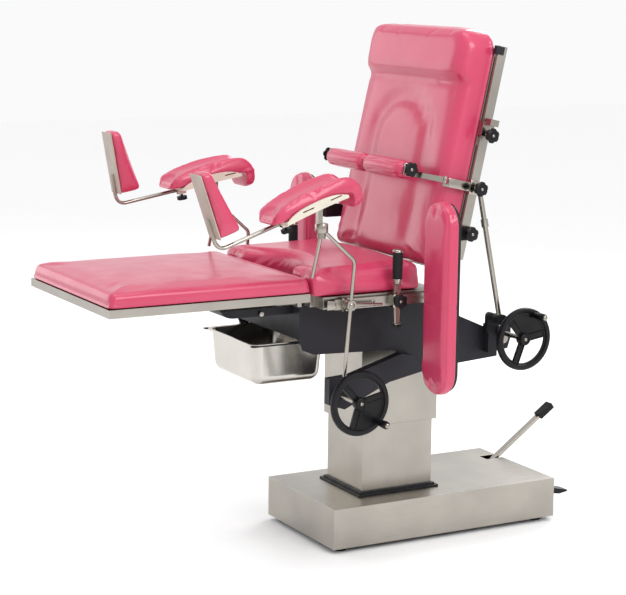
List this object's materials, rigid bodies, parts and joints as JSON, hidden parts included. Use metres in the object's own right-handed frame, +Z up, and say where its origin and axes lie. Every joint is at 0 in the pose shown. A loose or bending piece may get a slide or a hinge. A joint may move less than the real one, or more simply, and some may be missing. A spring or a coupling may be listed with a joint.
{
  "type": "gynaecology operating table",
  "caption": "Manual hydraulic operating table with crank tilt and back, pull-off leg section, leg holders, arm boards, shoulder supports, hand grips and basin.",
  "frame": {"origin": "on the floor, below the middle of the table's bounding box", "axes": "+X towards the head end, +Z up, -Y towards the side with the cranks"},
  "size_m": [1.7926, 0.976, 1.5928],
  "materials": {
    "black_plastic": "moulded, satin",
    "black_rubber": "matte",
    "bright_steel": "polished",
    "brushed_steel": "brushed",
    "charcoal_paint": "fine textured powder coat",
    "ivory_plastic": "smooth",
    "pink_leather": "smooth, soft sheen"
  },
  "bodies": {
    "base": {"base_cover": "brushed_steel", "base_chassis": "charcoal_paint", "levelling_feet": "black_rubber", "column_skirt": "black_plastic", "lower_column": "brushed_steel", "lift_jack": "charcoal_paint"},
    "pump_pedal": {"pump_pedal": "bright_steel", "pump_pedal_pad": "black_rubber"},
    "release_pedal": {"release_pedal": "black_plastic"},
    "lift": {"lift_ram": "bright_steel", "column_sleeve": "brushed_steel", "column_head": "charcoal_paint"},
    "table_top": {"underframe": "charcoal_paint", "front_gearbox": "charcoal_paint", "rear_gearbox": "charcoal_paint", "seat_frame": "brushed_steel", "side_rails": "brushed_steel", "rod_jaws": "bright_steel", "grip_jaws": "black_plastic", "seat_cushion": "pink_leather"},
    "front_handwheel": {"front_handwheel": "black_plastic"},
    "front_crank_grip": {"front_crank_grip": "black_plastic"},
    "rear_handwheel": {"rear_handwheel": "black_plastic"},
    "rear_crank_grip": {"rear_crank_grip": "black_plastic"},
    "strut_nut": {"strut_nut": "black_plastic"},
    "strut_screw": {"strut_screw": "bright_steel"},
    "back": {"back_frame": "brushed_steel", "back_board": "black_plastic", "back_cushion": "pink_leather", "back_rail_clamps": "bright_steel", "rail_knobs": "black_plastic"},
    "leg_section": {"leg_frame": "brushed_steel", "leg_cushion": "pink_leather"},
    "basin": {"basin": "brushed_steel"},
    "left_arm": {"left_arm_board": "black_plastic", "left_arm_pad": "pink_leather"},
    "left_shoulder_clamp": {"left_shoulder_clamp": "bright_steel"},
    "left_shoulder": {"left_shoulder_arm": "bright_steel", "left_shoulder_pad": "pink_leather"},
    "left_hand_grip": {"left_hand_grip": "bright_steel", "left_grip_sleeve": "black_rubber"},
    "left_rod_clamp": {"left_rod_clamp": "bright_steel"},
    "left_holder": {"left_holder_rod": "bright_steel"},
    "left_leg_pad": {"left_pad_shell": "ivory_plastic", "left_thigh_pad": "pink_leather"},
    "left_foot_rest": {"left_foot_bar": "bright_steel", "left_foot_pad": "pink_leather"},
    "right_arm": {"right_arm_board": "black_plastic", "right_arm_pad": "pink_leather"},
    "right_shoulder_clamp": {"right_shoulder_clamp": "bright_steel"},
    "right_shoulder": {"right_shoulder_arm": "bright_steel", "right_shoulder_pad": "pink_leather"},
    "right_hand_grip": {"right_hand_grip": "bright_steel", "right_grip_sleeve": "black_rubber"},
    "right_rod_clamp": {"right_rod_clamp": "bright_steel"},
    "right_holder": {"right_holder_rod": "bright_steel"},
    "right_leg_pad": {"right_pad_shell": "ivory_plastic", "right_thigh_pad": "pink_leather"},
    "right_foot_rest": {"right_foot_bar": "bright_steel", "right_foot_pad": "pink_leather"}
  },
  "joints": [
    {"name": "pump_pedal_press", "type": "hinge", "parent": "base", "child": "pump_pedal", "pos_m": [0.59166, 0.1, 0.082], "axis": [0, 1, 0], "range_deg": [0, 28], "stiffness_Nm_per_rad": 18, "springref_deg": -20.05},
    {"name": "release_pedal_press", "type": "hinge", "parent": "base", "child": "release_pedal", "pos_m": [0.59166, -0.12, 0.07], "axis": [0, 1, 0], "range_deg": [0, 6], "stiffness_Nm_per_rad": 30, "springref_deg": -8.59},
    {"name": "column_lift", "type": "slide", "parent": "base", "child": "lift", "axis": [0, 0, 1], "range_m": [-0.18, 0.03]},
    {"name": "table_tilt", "type": "hinge", "parent": "lift", "child": "table_top", "pos_m": [0.15166, 0, 0.7], "axis": [0, 1, 0], "range_deg": [-10, 20]},
    {"name": "front_handwheel_turn", "type": "hinge", "parent": "table_top", "child": "front_handwheel", "pos_m": [-0.13634, -0.361, 0.504], "axis": [0, 1, 0], "range_deg": [-720, 1440]},
    {"name": "front_crank_grip_spin", "type": "hinge", "parent": "front_handwheel", "child": "front_crank_grip", "pos_m": [-0.0821, -0.361, 0.44583], "axis": [0, 1, 0], "continuous": true},
    {"name": "back_recline", "type": "hinge", "parent": "table_top", "child": "back", "pos_m": [0.21366, 0, 0.796], "axis": [0, 1, 0], "range_deg": [0, 77]},
    {"name": "rear_handwheel_turn", "type": "hinge", "parent": "table_top", "child": "rear_handwheel", "pos_m": [0.43966, -0.361, 0.646], "axis": [0, 1, 0], "range_deg": [0, 5544]},
    {"name": "rear_crank_grip_spin", "type": "hinge", "parent": "rear_handwheel", "child": "rear_crank_grip", "pos_m": [0.46816, -0.361, 0.72026], "axis": [0, 1, 0], "continuous": true},
    {"name": "strut_swing", "type": "hinge", "parent": "table_top", "child": "strut_nut", "pos_m": [0.40666, -0.279, 0.696], "axis": [0, 1, 0], "range_deg": [0, 75.38]},
    {"name": "strut_travel", "type": "slide", "parent": "strut_nut", "child": "strut_screw", "axis": [-0.2116, 0, 0.9774], "range_m": [-0.2715, 0]},
    {"name": "leg_section_pull_off", "type": "slide", "parent": "table_top", "child": "leg_section", "axis": [-1, 0, 0], "range_m": [0, 0.12]},
    {"name": "basin_pull_out", "type": "slide", "parent": "table_top", "child": "basin", "axis": [-1, 0, 0], "range_m": [0, 0.3]},
    {"name": "left_arm_swing", "type": "hinge", "parent": "back", "child": "left_arm", "pos_m": [0.2537, -0.314, 0.97662], "axis": [0, 1, 0], "range_deg": [0, 70]},
    {"name": "left_shoulder_slide", "type": "slide", "parent": "back", "child": "left_shoulder_clamp", "axis": [0.2164, 0, 0.9763], "range_m": [-0.06, 0.1]},
    {"name": "left_shoulder_gate", "type": "hinge", "parent": "left_shoulder_clamp", "child": "left_shoulder", "pos_m": [0.17694, -0.304, 1.13396], "axis": [0.2164, 0, 0.9763], "range_deg": [0, 90]},
    {"name": "left_hand_grip_height", "type": "slide", "parent": "table_top", "child": "left_hand_grip", "axis": [0, 0, 1], "range_m": [-0.028, 0.04]},
    {"name": "left_rod_clamp_tilt", "type": "hinge", "parent": "table_top", "child": "left_rod_clamp", "pos_m": [-0.15834, -0.338, 0.792], "axis": [0, -1, 0], "range_deg": [-8, 12]},
    {"name": "left_holder_height", "type": "slide", "parent": "left_rod_clamp", "child": "left_holder", "axis": [0.0854, 0, 0.9963], "range_m": [-0.08, 0.12]},
    {"name": "left_leg_pad_pitch", "type": "hinge", "parent": "left_holder", "child": "left_leg_pad", "pos_m": [-0.26663, -0.338, 1.08589], "axis": [0, -1, 0], "range_deg": [-20, 15]},
    {"name": "left_foot_rest_reach", "type": "slide", "parent": "left_leg_pad", "child": "left_foot_rest", "axis": [-0.9455, 0, -0.3256], "range_m": [-0.04, 0.04]},
    {"name": "right_arm_swing", "type": "hinge", "parent": "back", "child": "right_arm", "pos_m": [0.2537, 0.314, 0.97662], "axis": [0, 1, 0], "range_deg": [0, 70]},
    {"name": "right_shoulder_slide", "type": "slide", "parent": "back", "child": "right_shoulder_clamp", "axis": [0.2164, 0, 0.9763], "range_m": [-0.06, 0.1]},
    {"name": "right_shoulder_gate", "type": "hinge", "parent": "right_shoulder_clamp", "child": "right_shoulder", "pos_m": [0.17694, 0.304, 1.13396], "axis": [-0.2164, 0, -0.9763], "range_deg": [0, 90]},
    {"name": "right_hand_grip_height", "type": "slide", "parent": "table_top", "child": "right_hand_grip", "axis": [0, 0, 1], "range_m": [-0.028, 0.04]},
    {"name": "right_rod_clamp_tilt", "type": "hinge", "parent": "table_top", "child": "right_rod_clamp", "pos_m": [-0.15834, 0.338, 0.792], "axis": [0, -1, 0], "range_deg": [-8, 12]},
    {"name": "right_holder_height", "type": "slide", "parent": "right_rod_clamp", "child": "right_holder", "axis": [0.0854, 0, 0.9963], "range_m": [-0.08, 0.12]},
    {"name": "right_leg_pad_pitch", "type": "hinge", "parent": "right_holder", "child": "right_leg_pad", "pos_m": [-0.26663, 0.338, 1.08589], "axis": [0, -1, 0], "range_deg": [-20, 15]},
    {"name": "right_foot_rest_reach", "type": "slide", "parent": "right_leg_pad", "child": "right_foot_rest", "axis": [-0.9848, 0, -0.1736], "range_m": [-0.04, 0.04]}
  ],
  "couplings": [
    {"joint": "front_handwheel_turn", "follows": "table_tilt", "ratio": 72},
    {"joint": "rear_handwheel_turn", "follows": "back_recline", "ratio": 72},
    {"joint": "strut_swing", "follows": "back_recline", "ratio": 0.97247},
    {"joint": "strut_travel", "follows": "back_recline", "m_per_rad": -0.20127}
  ]
}
